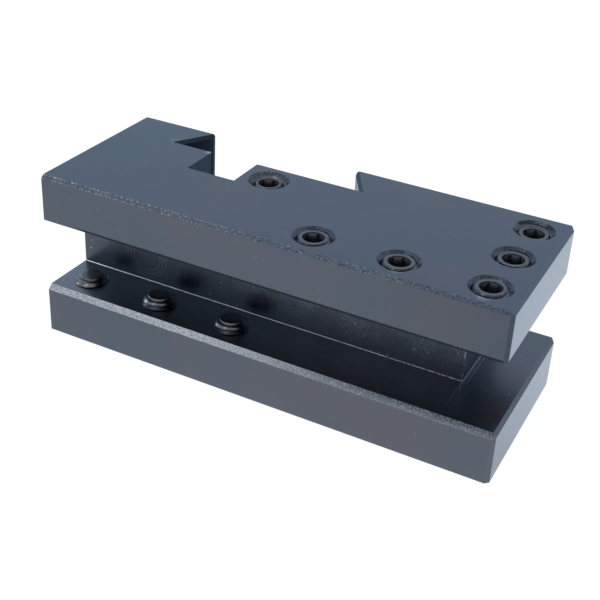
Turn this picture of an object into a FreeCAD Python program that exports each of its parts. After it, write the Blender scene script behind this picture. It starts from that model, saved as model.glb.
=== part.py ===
import FreeCAD, Part
import os
import Sketcher

# Turning and facing tool holder: one steel block with a dovetail up its back,
# a tool slot along its front and another across its right-hand end, and socket
# set screws that clamp the tools. Millimetres; +X is the long way, -Y the front,
# +Z up, and the origin is the middle of the block's underside.

SIZES = {
    # the block
    "length": 165.0,
    "width": 62.0,
    "base_plate": 18.4,
    "slot_height": 25.6,
    "top_plate": 17.0,
    "front_slot_depth": 21.5,
    "end_slot_depth": 18.5,
    "relief_width": 1.5,
    "relief_depth": 0.6,
    "web_foot_radius": 0.45,
    # the dovetail up the back, its centre measured from the left-hand end
    "dovetail_centre": 58.9,
    "dovetail_floor_width": 73.0,
    "dovetail_depth": 14.5,
    "dovetail_angle": 60.0,
    "dovetail_land": 1.2,
    "channel_offset": 12.2,
    "channel_width": 18.5,
    "channel_depth": 15.8,
    # where the screws stand
    "screw_inset": 10.75,
    "front_screw_pitch": 28.7,
    "end_screw_pitch": 20.8,
    "stud_beside_channel": 9.75,
    "stud_behind_floor": 9.1,
    # the holes
    "bore_diameter": 12.0,
    "bore_clearance": 0.05,
    "mouth_chamfer": 0.85,
    "stud_mouth_chamfer": 1.1,
    "stud_hole_depth": 39.5,
    # the set screws
    "screw_length": 20.0,
    "stud_length": 35.0,
    "socket_flats": 6.0,
    "socket_depth": 6.5,
    "end_chamfer": 0.85,
    "stud_end_chamfer": 1.55,
    "point_length": 2.1,
    "point_diameter": 7.7,
    # how deep each screw sits at rest
    "front_left_recess": 0.4,
    "front_right_recess": 0.25,
    "corner_recess": 0.1,
    "end_front_recess": 0.7,
    "end_rear_recess": 1.3,
    "under_left_stand": 2.6,
    "under_stand": 3.6,
    "stud_recess": 1.0,
    # edges
    "edge_chamfer": 1.2,
    "slot_edge_chamfer": 1.7,
    "edge_break": 0.4,
}

HEIGHT = "(Sizes.base_plate + Sizes.slot_height + Sizes.top_plate)"
WEB_END = "(Sizes.length - Sizes.end_slot_depth)"
CORNER_SCREW_X = "(Sizes.length - Sizes.screw_inset)"
DOVETAIL_FLOOR_Y = "(Sizes.width - Sizes.dovetail_depth)"
CHANNEL_LEFT = "(Sizes.dovetail_centre - Sizes.channel_offset - Sizes.channel_width / 2)"
CHANNEL_RIGHT = "(Sizes.dovetail_centre - Sizes.channel_offset + Sizes.channel_width / 2)"
STUD_X = f"({CHANNEL_RIGHT} + Sizes.stud_beside_channel)"
STUD_Y = f"({DOVETAIL_FLOOR_Y} - Sizes.stud_behind_floor)"
FLANK_INSET = (
    "((Sizes.dovetail_depth - Sizes.dovetail_land)"
    " * tan((90 - Sizes.dovetail_angle) * 1deg))"
)
FLAT_TOLERANCE = 1e-4

doc = FreeCAD.newDocument("ToolHolder")
sheet = doc.addObject("Spreadsheet::Sheet", "Sizes")
for row, (alias, number) in enumerate(SIZES.items(), start=1):
    sheet.set(f"A{row}", alias)
    sheet.set(f"B{row}", str(number))
    sheet.setAlias(f"B{row}", alias)
doc.recompute()


def value(expression):
    """The number that an expression of the size sheet gives now."""
    result = sheet.evalExpression(expression)
    return float(getattr(result, "Value", result))


def plane_of(body, role):
    """One of the body's own origin planes, found by its role."""
    return next(item for item in body.Origin.OriginFeatures if item.Role == role)


def new_sketch(body, name, role, height=None):
    """A sketch on one of the body's origin planes, lifted by an expression."""
    sketch = body.newObject("Sketcher::SketchObject", name)
    sketch.AttachmentSupport = [(plane_of(body, role), "")]
    sketch.MapMode = "FlatFace"
    if height is not None:
        sketch.setExpression("AttachmentOffset.Base.z", height)
    return sketch


def bind(sketch, kind, first, second, expression):
    """A distance between two sketch points, held by an expression."""
    index = sketch.addConstraint(
        Sketcher.Constraint(kind, *first, *second, value(expression))
    )
    sketch.setExpression(f"Constraints[{index}]", expression)


ORIGIN = (-1, 1)


def closed_outline(sketch, corners):
    """Lines through corners, each given by its two distance expressions."""
    points = [FreeCAD.Vector(value(x), value(y), 0) for x, y in corners]
    count = len(points)
    for index in range(count):
        line = Part.LineSegment(points[index], points[(index + 1) % count])
        sketch.addGeometry(line, False)
    for index in range(count):
        following = (index + 1) % count
        sketch.addConstraint(Sketcher.Constraint("Coincident", index, 2, following, 1))
    for index, (x, y) in enumerate(corners):
        bind(sketch, "DistanceX", ORIGIN, (index, 1), x)
        bind(sketch, "DistanceY", ORIGIN, (index, 1), y)


def rectangle(sketch, left, right, front, back):
    """A rectangle between four distance expressions."""
    closed_outline(sketch, [(left, front), (right, front), (right, back), (left, back)])


def circle(sketch, x, y, diameter):
    """A circle whose centre and diameter are expressions."""
    centre = FreeCAD.Vector(value(x), value(y), 0)
    normal = FreeCAD.Vector(0, 0, 1)
    index = sketch.addGeometry(Part.Circle(centre, normal, value(diameter) / 2), False)
    bind(sketch, "DistanceX", ORIGIN, (index, 3), x)
    bind(sketch, "DistanceY", ORIGIN, (index, 3), y)
    sized = sketch.addConstraint(Sketcher.Constraint("Diameter", index, value(diameter)))
    sketch.setExpression(f"Constraints[{sized}]", diameter)


def hexagon(sketch, across_flats):
    """A hexagon about the sketch's origin, as wide across its flats as given."""
    corner_radius = f"({across_flats} / 2 / cos(30deg))"
    half_side = f"({across_flats} / 2 * tan(30deg))"
    half_flats = f"({across_flats} / 2)"
    closed_outline(sketch, [
        (corner_radius, "0"),
        (half_side, half_flats),
        (f"-{half_side}", half_flats),
        (f"-{corner_radius}", "0"),
        (f"-{half_side}", f"-{half_flats}"),
        (half_side, f"-{half_flats}"),
    ])


def pad(body, name, sketch, length):
    """Material added upwards from a sketch."""
    feature = body.newObject("PartDesign::Pad", name)
    feature.Profile = sketch
    feature.setExpression("Length", length)
    doc.recompute()
    return feature


def pocket(body, name, sketch, length, upwards=True):
    """Material cut away from a sketch, and a check that some was."""
    before = body.Shape.Volume
    feature = body.newObject("PartDesign::Pocket", name)
    feature.Profile = sketch
    feature.setExpression("Length", length)
    feature.Reversed = upwards
    doc.recompute()
    if body.Shape.Volume >= before - FLAT_TOLERANCE:
        raise RuntimeError(f"{name} cut nothing")
    return feature


def row_of(body, name, feature, role, length, count):
    """Copies of a feature in a row along one of the body's axes."""
    pattern = body.newObject("PartDesign::LinearPattern", name)
    pattern.Originals = [feature]
    axis = plane_of(body, role)
    pattern.Direction = (axis, [""])
    pattern.setExpression("Length", length)
    pattern.Occurrences = count
    body.Tip = pattern
    doc.recompute()
    return pattern


def edge_names(shape, test):
    """The names of the edges of a shape that pass a test."""
    return [f"Edge{i}" for i, edge in enumerate(shape.Edges, start=1) if test(edge)]


def dress(body, kind, name, measure, size, test):
    """A feature of the kind named on every edge of the body that passes a test."""
    base = body.Tip
    names = edge_names(base.Shape, test)
    if not names:
        raise RuntimeError(f"{name} found no edge")
    feature = body.newObject(f"PartDesign::{kind}", name)
    feature.Base = (base, names)
    feature.setExpression(measure, size)
    body.Tip = feature
    doc.recompute()
    return feature


def chamfer(body, name, size, test):
    """A chamfer on every edge of the body that passes a test."""
    return dress(body, "Chamfer", name, "Size", size, test)


def fillet(body, name, radius, test):
    """A fillet on every edge of the body that passes a test."""
    return dress(body, "Fillet", name, "Radius", radius, test)


def near(first, second):
    """Whether two lengths are the same."""
    return abs(first - second) < FLAT_TOLERANCE


def lies_at(edge, x=None, y=None, z=None):
    """Whether every corner of a straight edge has the coordinates given."""
    if not isinstance(edge.Curve, Part.Line):
        return False
    wanted = ((0, x), (1, y), (2, z))
    return all(
        near(vertex.Point[axis], number)
        for vertex in edge.Vertexes
        for axis, number in wanted
        if number is not None
    )


def slants(edge, height):
    """Whether a level edge at a height runs neither along the block nor across it."""
    if not lies_at(edge, z=height):
        return False
    run = edge.Vertexes[1].Point - edge.Vertexes[0].Point
    return not near(run.x, 0.0) and not near(run.y, 0.0)


def is_mouth(edge, radius, heights, x=None):
    """Whether an edge is the round mouth of a hole, at one of some heights."""
    if not isinstance(edge.Curve, Part.Circle) or not near(edge.Curve.Radius, radius):
        return False
    centre = edge.Curve.Center
    at_height = any(near(centre.z, height) for height in heights)
    return at_height and (x is None or near(centre.x, x))


def block_outline(body):
    """The solid block, before its slots and dovetail are cut."""
    sketch = new_sketch(body, "OutlineSketch", "XY_Plane")
    rectangle(sketch, "0", "Sizes.length", "0", "Sizes.width")
    pad(body, "Blank", sketch, HEIGHT)


def tool_slots(body):
    """The slot along the front, the one across the end, and its relief."""
    front = new_sketch(body, "FrontSlotSketch", "XY_Plane", "Sizes.base_plate")
    rectangle(front, "0", "Sizes.length", "0", "Sizes.front_slot_depth")
    pocket(body, "FrontSlot", front, "Sizes.slot_height")

    end = new_sketch(body, "EndSlotSketch", "XY_Plane", "Sizes.base_plate")
    rectangle(end, WEB_END, "Sizes.length", "Sizes.front_slot_depth", "Sizes.width")
    pocket(body, "EndSlot", end, "Sizes.slot_height")

    web_end, slot_back = value(WEB_END), value("Sizes.front_slot_depth")
    chamfer(body, "WebCorner", "Sizes.edge_break",
            lambda edge: lies_at(edge, x=web_end, y=slot_back))
    fillet(body, "WebFoot", "Sizes.web_foot_radius",
           lambda edge: lies_at(edge, y=slot_back, z=value("Sizes.base_plate")))

    relief = new_sketch(body, "ReliefSketch", "XY_Plane", "Sizes.base_plate")
    relief_right = f"({WEB_END} + Sizes.relief_width)"
    rectangle(relief, WEB_END, relief_right, "Sizes.front_slot_depth", "Sizes.width")
    pocket(body, "CornerRelief", relief, "Sizes.relief_depth", upwards=False)


def dovetail(body):
    """The dovetail through the back and the clearance channel in its floor."""
    centre = "Sizes.dovetail_centre"
    half_floor = "Sizes.dovetail_floor_width / 2"
    land_start = "(Sizes.width - Sizes.dovetail_land)"
    half_mouth = f"({half_floor} - {FLANK_INSET})"
    slot = new_sketch(body, "DovetailSketch", "XY_Plane")
    closed_outline(slot, [
        (f"{centre} - {half_floor}", DOVETAIL_FLOOR_Y),
        (f"{centre} + {half_floor}", DOVETAIL_FLOOR_Y),
        (f"{centre} + {half_mouth}", land_start),
        (f"{centre} + {half_mouth}", "Sizes.width"),
        (f"{centre} - {half_mouth}", "Sizes.width"),
        (f"{centre} - {half_mouth}", land_start),
    ])
    pocket(body, "Dovetail", slot, HEIGHT)

    channel = new_sketch(body, "ChannelSketch", "XY_Plane")
    channel_floor = f"({DOVETAIL_FLOOR_Y} - Sizes.channel_depth)"
    rectangle(channel, CHANNEL_LEFT, CHANNEL_RIGHT, channel_floor, DOVETAIL_FLOOR_Y)
    pocket(body, "Channel", channel, HEIGHT)


def screw_holes(body):
    """Three holes down through the front row, two more at the end, three up
    from below, and the blind hole of the height stud."""
    slot_roof = "(Sizes.base_plate + Sizes.slot_height)"
    third_screw_x = f"({CORNER_SCREW_X} - 2 * Sizes.front_screw_pitch)"
    top = new_sketch(body, "TopHoleSketch", "XY_Plane", slot_roof)
    circle(top, third_screw_x, "Sizes.screw_inset", "Sizes.bore_diameter")
    top_hole = pocket(body, "TopHole", top, "Sizes.top_plate")
    row_of(body, "TopHoles", top_hole, "X_Axis", "2 * Sizes.front_screw_pitch", 3)

    end = new_sketch(body, "EndHoleSketch", "XY_Plane", slot_roof)
    second_end_y = "(Sizes.screw_inset + Sizes.end_screw_pitch)"
    circle(end, CORNER_SCREW_X, second_end_y, "Sizes.bore_diameter")
    end_hole = pocket(body, "EndHole", end, "Sizes.top_plate")
    row_of(body, "EndHoles", end_hole, "Y_Axis", "Sizes.end_screw_pitch", 2)

    under = new_sketch(body, "UnderHoleSketch", "XY_Plane")
    first_screw_x = f"({CORNER_SCREW_X} - 5 * Sizes.front_screw_pitch)"
    circle(under, first_screw_x, "Sizes.screw_inset", "Sizes.bore_diameter")
    under_hole = pocket(body, "UnderHole", under, "Sizes.base_plate")
    row_of(body, "UnderHoles", under_hole, "X_Axis", "2 * Sizes.front_screw_pitch", 3)

    stud = new_sketch(body, "StudHoleSketch", "XY_Plane", HEIGHT)
    circle(stud, STUD_X, STUD_Y, "Sizes.bore_diameter")
    pocket(body, "StudHole", stud, "Sizes.stud_hole_depth", upwards=False)


def block_edges(body):
    """Chamfers on the mouths of the holes and on the block's outer edges."""
    height = value(HEIGHT)
    slot_floor = value("Sizes.base_plate")
    slot_roof = value("Sizes.base_plate + Sizes.slot_height")
    bore_radius = value("Sizes.bore_diameter / 2")
    stud_x = value(STUD_X)
    length, width = value("Sizes.length"), value("Sizes.width")
    corner = value("2 * Sizes.edge_chamfer")

    chamfer(body, "StudMouth", "Sizes.stud_mouth_chamfer",
            lambda edge: is_mouth(edge, bore_radius, [height], stud_x))
    chamfer(body, "HoleMouths", "Sizes.mouth_chamfer",
            lambda edge: is_mouth(edge, bore_radius, [0.0, height]))
    chamfer(body, "SlotEdge", "Sizes.slot_edge_chamfer",
            lambda edge: lies_at(edge, y=0.0, z=slot_floor))
    chamfer(body, "EndSlotEdge", "Sizes.edge_chamfer",
            lambda edge: lies_at(edge, x=length, z=slot_floor))
    chamfer(body, "TopEdges", "Sizes.edge_chamfer",
            lambda edge: lies_at(edge, y=0.0, z=height) or lies_at(edge, x=length, z=height))
    chamfer(body, "CornerEdges", "Sizes.edge_chamfer",
            lambda edge: lies_at(edge, x=length, y=0.0) or lies_at(edge, x=length, y=width))
    chamfer(body, "UndersideEdges", "Sizes.edge_break",
            lambda edge: lies_at(edge, y=0.0, z=0.0) or lies_at(edge, x=length, z=0.0)
            or (slants(edge, 0.0) and edge.Length < corner))
    chamfer(body, "SlotRoofEdges", "Sizes.edge_break",
            lambda edge: lies_at(edge, y=0.0, z=slot_roof) or lies_at(edge, x=length, z=slot_roof))
    chamfer(body, "ChannelLips", "Sizes.edge_break",
            lambda edge: lies_at(edge, x=value(CHANNEL_LEFT), y=value(DOVETAIL_FLOOR_Y))
            or lies_at(edge, x=value(CHANNEL_RIGHT), y=value(DOVETAIL_FLOOR_Y)))
    chamfer(body, "DovetailLeadIn", "Sizes.edge_chamfer",
            lambda edge: edge.Length > corner and (slants(edge, 0.0) or slants(edge, height)))


def placed(body, x, y, z):
    """Puts a body where the expressions say, from the block's left front corner."""
    body.setExpression("Placement.Base.x", f"{x} - Sizes.length / 2")
    body.setExpression("Placement.Base.y", f"{y} - Sizes.width / 2")
    body.setExpression("Placement.Base.z", z)


def holder_block():
    """The block that everything screws into."""
    body = doc.addObject("PartDesign::Body", "HolderBlock")
    body.Label = "holder_block"
    block_outline(body)
    tool_slots(body)
    dovetail(body)
    screw_holes(body)
    block_edges(body)
    placed(body, "0", "0", "0")
    return body


def set_screw(label, length, end_chamfer):
    """A socket set screw, its socket end at z = 0 and its flat point below."""
    body = doc.addObject("PartDesign::Body", label.title().replace("_", ""))
    body.Label = label
    radius = "(Sizes.bore_diameter / 2 - Sizes.bore_clearance)"
    profile = new_sketch(body, f"{body.Name}Profile", "XZ_Plane")
    closed_outline(profile, [
        ("0", "0"),
        (f"({radius} - {end_chamfer})", "0"),
        (radius, f"-{end_chamfer}"),
        (radius, f"-({length} - Sizes.point_length)"),
        ("Sizes.point_diameter / 2", f"-{length}"),
        ("0", f"-{length}"),
    ])
    turned = body.newObject("PartDesign::Revolution", f"{body.Name}Turned")
    turned.Profile = profile
    turned.ReferenceAxis = (profile, ["V_Axis"])
    turned.Angle = 360.0
    doc.recompute()

    socket = new_sketch(body, f"{body.Name}Hexagon", "XY_Plane")
    hexagon(socket, "Sizes.socket_flats")
    pocket(body, f"{body.Name}Socket", socket, "Sizes.socket_depth", upwards=False)
    return body


def downward_screws():
    """The screws in the top plate: two along the front, one in the corner that
    serves both slots, and two more along the end."""
    places = {
        "front_clamp_screw_left": (2, 0, "Sizes.front_left_recess"),
        "front_clamp_screw_right": (1, 0, "Sizes.front_right_recess"),
        "corner_clamp_screw": (0, 0, "Sizes.corner_recess"),
        "end_clamp_screw_front": (0, 1, "Sizes.end_front_recess"),
        "end_clamp_screw_rear": (0, 2, "Sizes.end_rear_recess"),
    }
    screws = []
    for label, (along_front, along_end, recess) in places.items():
        screw = set_screw(label, "Sizes.screw_length", "Sizes.end_chamfer")
        placed(
            screw,
            f"{CORNER_SCREW_X} - {along_front} * Sizes.front_screw_pitch",
            f"Sizes.screw_inset + {along_end} * Sizes.end_screw_pitch",
            f"{HEIGHT} - {recess}",
        )
        screws.append(screw)
    return screws


def upward_screws():
    """The screws in the base plate, points up, at the left of the front slot."""
    places = {
        "under_clamp_screw_left": (5, "Sizes.under_left_stand"),
        "under_clamp_screw_middle": (4, "Sizes.under_stand"),
        "under_clamp_screw_right": (3, "Sizes.under_stand"),
    }
    turned_over = FreeCAD.Rotation(FreeCAD.Vector(1, 0, 0), 180)
    screws = []
    for label, (along_front, stand) in places.items():
        screw = set_screw(label, "Sizes.screw_length", "Sizes.end_chamfer")
        screw.Placement = FreeCAD.Placement(FreeCAD.Vector(), turned_over)
        placed(
            screw,
            f"{CORNER_SCREW_X} - {along_front} * Sizes.front_screw_pitch",
            "Sizes.screw_inset",
            f"Sizes.base_plate + {stand} - Sizes.screw_length",
        )
        screws.append(screw)
    return screws


def height_stud():
    """The stud beside the dovetail that is wound out to set the tool's height."""
    stud = set_screw("height_stud", "Sizes.stud_length", "Sizes.stud_end_chamfer")
    placed(stud, STUD_X, STUD_Y, f"{HEIGHT} - Sizes.stud_recess")
    return stud


def check(subparts):
    """Stops if anything in the document failed or a sub-part has no good solid."""
    doc.recompute()
    for item in doc.Objects:
        if "Invalid" in item.State or "Error" in item.State:
            raise RuntimeError(f"{item.Name} is {item.State}")
    for subpart in subparts:
        shape = subpart.Shape
        if shape.isNull() or not shape.isValid() or len(shape.Solids) != 1:
            raise RuntimeError(f"{subpart.Label} is not one good solid")


subparts = [holder_block(), *downward_screws(), *upward_screws(), height_stud()]
check(subparts)
os.makedirs("parts", exist_ok=True)
for subpart in subparts:
    subpart.Shape.exportStep(f"parts/{subpart.Label}.step")
    print(subpart.Label, round(subpart.Shape.Volume, 1), subpart.Shape.BoundBox)
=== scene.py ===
"""Turning and facing tool holder: the visual model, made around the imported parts.

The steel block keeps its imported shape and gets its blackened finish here. Each set screw and the height
stud is made anew with its real thread, socket and point, and every tapped bore gets the thread that
carries it. Lengths are in metres. X runs along the block to the end with the crosswise slot, Y to the
dovetail, Z up.
"""

from __future__ import annotations

import logging
import math
from dataclasses import dataclass, field
from enum import Enum
from typing import Sequence

import bmesh
import bpy
import numpy as np
from mathutils import Matrix, Vector


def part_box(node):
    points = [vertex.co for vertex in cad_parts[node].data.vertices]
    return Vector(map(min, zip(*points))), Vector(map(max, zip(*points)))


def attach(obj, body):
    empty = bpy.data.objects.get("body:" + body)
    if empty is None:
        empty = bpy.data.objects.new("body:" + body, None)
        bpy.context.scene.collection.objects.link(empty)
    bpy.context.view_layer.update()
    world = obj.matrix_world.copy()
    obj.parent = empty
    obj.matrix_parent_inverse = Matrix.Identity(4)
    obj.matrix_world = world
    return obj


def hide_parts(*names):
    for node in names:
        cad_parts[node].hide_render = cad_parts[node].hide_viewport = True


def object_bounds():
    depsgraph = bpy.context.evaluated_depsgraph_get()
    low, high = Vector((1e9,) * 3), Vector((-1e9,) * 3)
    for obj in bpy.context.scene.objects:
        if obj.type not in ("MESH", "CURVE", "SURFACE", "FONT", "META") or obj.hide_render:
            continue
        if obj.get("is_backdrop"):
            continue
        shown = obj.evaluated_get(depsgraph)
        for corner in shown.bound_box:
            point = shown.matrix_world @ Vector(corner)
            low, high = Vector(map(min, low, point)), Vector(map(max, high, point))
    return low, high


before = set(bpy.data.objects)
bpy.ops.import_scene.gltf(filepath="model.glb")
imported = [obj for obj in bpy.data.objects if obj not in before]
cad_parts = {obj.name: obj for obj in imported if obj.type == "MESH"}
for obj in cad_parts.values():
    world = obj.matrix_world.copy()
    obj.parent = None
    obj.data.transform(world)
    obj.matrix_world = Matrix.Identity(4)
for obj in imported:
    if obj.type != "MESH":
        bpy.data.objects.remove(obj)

LOG = logging.getLogger("tool_holder")
MM = 0.001
WELD_DISTANCE = 0.0015 * MM
CREASE_ANGLE = math.radians(32)
UPWARD_AT_45_DEGREES = 0.707
Colour = tuple[float, float, float]
Spot = tuple[float, float, float]
Socket = bpy.types.NodeSocket


# Shared mesh making

def grid_faces(rows: int, columns: int, first: int) -> np.ndarray:
    """Join each point of a grid to its next column and next row.

    Args:
        rows: Number of rows of points.
        columns: Number of points in each row.
        first: Index of the grid's first point.

    Returns:
        One line of four point indices for each face.
    """
    corner = first + np.arange(rows - 1)[:, None] * columns + np.arange(columns - 1)[None, :]
    around = np.stack([corner, corner + 1, corner + columns + 1, corner + columns], axis=-1)
    return around.reshape(-1, 4)


def skin(name: str, grids: Sequence[np.ndarray]) -> bpy.types.Object:
    """Make one closed piece from grids of points whose rims meet.

    Rims are welded, and an edge stays crisp where its faces meet at more than the crease angle.

    Args:
        name: Name of the new piece.
        grids: Arrays of rows by columns by three coordinates.

    Returns:
        The new object, with its place in its mesh.
    """
    points, faces, count = [], [], 0
    for grid in grids:
        rows, columns = grid.shape[:2]
        points.append(grid.reshape(-1, 3))
        faces.append(grid_faces(rows, columns, count))
        count += rows * columns
    mesh = bpy.data.meshes.new(name)
    mesh.from_pydata(np.concatenate(points), [], np.concatenate(faces))
    welded = bmesh.new()
    welded.from_mesh(mesh)
    bmesh.ops.remove_doubles(welded, verts=welded.verts, dist=WELD_DISTANCE)
    bmesh.ops.recalc_face_normals(welded, faces=welded.faces)
    welded.to_mesh(mesh)
    welded.free()
    mesh.polygons.foreach_set("use_smooth", np.ones(len(mesh.polygons), dtype=bool))
    mesh.set_sharp_from_angle(angle=CREASE_ANGLE)
    piece = bpy.data.objects.new(name, mesh)
    bpy.context.scene.collection.objects.link(piece)
    return piece


# Threads and screws

@dataclass(frozen=True)
class ThreadForm:
    """The coarse metric thread that the screws and the bores share.

    Its phase follows the height above the underside, so each crest of a screw lies in a groove of its bore,
    at rest and after any whole number of turns. The steps are the shares of a pitch at which its rows of
    points lie: on the crest's flat, down one flank, across the root and up the other flank.
    """

    pitch: float = 1.75 * MM
    flat_share: float = 1 / 8
    columns: int = 72
    steps: tuple[float, ...] = (0, 1 / 16, 0.18, 0.30, 0.4165, 0.5, 0.5835, 0.70, 0.82, 15 / 16, 1)

    def angles(self) -> np.ndarray:
        """Angles of one closed turn, with the first angle repeated at the end."""
        return np.linspace(0, 2 * math.pi, self.columns + 1)

    def radius(self, angle: np.ndarray, height: np.ndarray, crest: float, depth: float) -> np.ndarray:
        """Radius of the thread's surface.

        It is the crest's radius less 1.732 times the distance along the axis from the edge of the crest's
        flat, and no less than the crest's radius less the depth.

        Args:
            angle: Angle about the axis, in radians.
            height: Height above the block's underside.
            crest: Largest radius of the surface.
            depth: How far the surface goes in from its largest radius.

        Returns:
            The radius at each angle and height.
        """
        turn = height / self.pitch - angle / (2 * math.pi)
        from_crest = np.abs(turn - np.round(turn)) * self.pitch
        slope = math.sqrt(3) * np.clip(from_crest - self.pitch * self.flat_share / 2, 0, None)
        return np.maximum(crest - slope, crest - depth)

    def winding(self, low: float, high: float) -> tuple[np.ndarray, np.ndarray]:
        """Angles and heights of a grid that winds up from one height to another.

        A column is one angle of the winding, and its rows climb one pitch. The height is the pitch times
        the sum of the turns so far and the row's share of a pitch, held between the two ends.

        Args:
            low: Height of the lower end.
            high: Height of the upper end.

        Returns:
            The grid's angles and its heights.
        """
        first = math.floor(low / self.pitch) - 1
        turns = math.ceil(high / self.pitch) - first
        along = np.linspace(0, turns, turns * self.columns + 1)[None, :]
        share = np.array(self.steps)[:, None]
        height = np.clip(self.pitch * (first + along + share), low, high)
        return 2 * math.pi * (along + 0 * share), height


def about_axis(axis: tuple[float, float], radius: np.ndarray, angle: np.ndarray,
               height: np.ndarray) -> np.ndarray:
    """Points at a radius, an angle and a height about an upright axis.

    X and Y are the axis plus the radius times the cosine and the sine of the angle.

    Args:
        axis: X and Y of the axis.
        radius: Distance of each point from the axis.
        angle: Angle of each point, in radians.
        height: Height of each point.

    Returns:
        An array with the three coordinates last.
    """
    radius, angle, height = np.broadcast_arrays(radius, angle, height)
    return np.stack([axis[0] + radius * np.cos(angle), axis[1] + radius * np.sin(angle), height], axis=-1)


class SocketFaces(Enum):
    """Which way the hexagon socket of a screw faces."""

    UP = 1
    DOWN = -1


@dataclass(frozen=True)
class HexSocket:
    """The hexagon socket in the end of a screw, with a turned mouth and a drilled bottom.

    Its turn about the screw's axis is in degrees.
    """

    turn: float = 0.0
    across_flats: float = 6.0 * MM
    mouth_radius: float = 3.55 * MM
    mouth_steepness: float = 2.0
    depth: float = 6.5 * MM
    drill_depth: float = 1.6 * MM

    def rows(self, angle: np.ndarray) -> tuple[np.ndarray, np.ndarray]:
        """Rows of points from the mouth's rim down to the middle of the bottom.

        The hexagon's radius is half the width across flats over the cosine of the angle from the nearest
        flat's middle. The turned mouth is a steep cone: its depth is the radius that is left to the hexagon
        times the steepness.

        Args:
            angle: The angles of one closed turn.

        Returns:
            Radius and depth below the screw's end face, with rows first.
        """
        flat = self.across_flats / 2
        from_flat = np.mod(angle - math.radians(self.turn), math.pi / 3) - math.pi / 6
        hexagon = flat / np.cos(from_flat)
        mouth = np.maximum(self.mouth_radius, hexagon)
        circle = np.ones_like(angle)
        radius = [mouth, hexagon, hexagon, hexagon, flat * circle, 0 * circle]
        depth = [0 * circle, self.mouth_steepness * (mouth - hexagon), 0.5 * self.depth * circle,
                 self.depth * circle, self.depth * circle, (self.depth + self.drill_depth) * circle]
        return np.array(radius), np.array(depth)


@dataclass(frozen=True)
class ScrewPoint:
    """The plain turned tip of a screw: a flat end, a rounded rim, a short neck and a shoulder."""

    radius: float = 3.95 * MM
    neck: float = 0.90 * MM
    rounding: float = 0.45 * MM
    length: float = 1.15 * MM
    thread_start: float = 4.7 * MM
    arc_rows: int = 7

    def rows(self, angle: np.ndarray) -> tuple[np.ndarray, np.ndarray]:
        """Rows of points from the thread's start to the middle of the tip.

        The rim is a quarter circle, whose radius and depth follow the cosine and the sine of its angle.

        Args:
            angle: The angles of one closed turn.

        Returns:
            Radius and depth below the tip, with rows first.
        """
        quarter = np.linspace(0, math.pi / 2, self.arc_rows)
        centre = self.radius - self.rounding
        radius = [self.thread_start, self.radius, *(centre + self.rounding * np.cos(quarter)),
                  0.5 * centre, 0]
        depth = [self.length, self.neck, *(self.rounding * (1 - np.sin(quarter))), 0, 0]
        return np.outer(radius, np.ones_like(angle)), np.outer(depth, np.ones_like(angle))


@dataclass
class SetScrew:
    """A threaded screw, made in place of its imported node, with a socket in one end and a plain point."""

    node: str
    faces: SocketFaces
    finish: "Finish"
    slot: str = "set_screw"
    end_chamfer: float = 1.15 * MM
    form: ThreadForm = ThreadForm()
    crest: float = 5.87 * MM
    depth: float = 1.05 * MM
    socket: HexSocket = HexSocket()
    point: ScrewPoint = ScrewPoint()

    def axis(self) -> tuple[float, float]:
        """X and Y of the screw's axis, from the middle of its packed box."""
        low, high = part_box(self.node)
        return (low.x + high.x) / 2, (low.y + high.y) / 2

    def build(self) -> bpy.types.Object:
        """Make the screw's closed surface, dress it and hang it on its own body."""
        low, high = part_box(self.node)
        face, tip = (high.z, low.z) if self.faces is SocketFaces.UP else (low.z, high.z)
        grids = [self.thread(face, tip), self.socket_end(face), self.point_end(tip)]
        piece = skin("threaded_" + self.node, grids)
        piece.data.materials.append(self.finish.material())
        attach(piece, self.node)
        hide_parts(self.node)
        return piece

    def thread(self, face: float, tip: float) -> np.ndarray:
        """The threaded side between the socket's end and the point.

        Its radius is the thread's, and no more than either of two cones: the crest's radius less the end
        chamfer plus the distance from the face, and the radius where the thread starts plus the distance
        from the shoulder.

        Args:
            face: Height of the end with the socket.
            tip: Height of the point's flat end.

        Returns:
            The grid of its points.
        """
        shoulder = tip + self.faces.value * self.point.length
        angle, height = self.form.winding(min(face, shoulder), max(face, shoulder))
        radius = self.form.radius(angle, height, self.crest, self.depth)
        radius = np.minimum(radius, self.crest - self.end_chamfer + np.abs(height - face))
        radius = np.minimum(radius, self.point.thread_start + np.abs(height - tip) - self.point.length)
        return about_axis(self.axis(), radius, angle, height)

    def socket_end(self, face: float) -> np.ndarray:
        """Grid of the end at the face's height, from the thread's rim to the middle of the socket."""
        turn = self.form.angles()
        rim = np.minimum(self.form.radius(turn, np.full_like(turn, face), self.crest, self.depth),
                         self.crest - self.end_chamfer)
        radius, depth = self.socket.rows(turn)
        radius = np.vstack([rim, 0.5 * (rim + radius[0]), radius])
        depth = np.vstack([0 * rim, 0 * rim, depth])
        return about_axis(self.axis(), radius, turn, face - self.faces.value * depth)

    def point_end(self, tip: float) -> np.ndarray:
        """Grid of the point, from the thread's start to the middle of its flat end at the tip's height."""
        turn = self.form.angles()
        radius, depth = self.point.rows(turn)
        return about_axis(self.axis(), radius, turn, tip + self.faces.value * depth)


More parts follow.
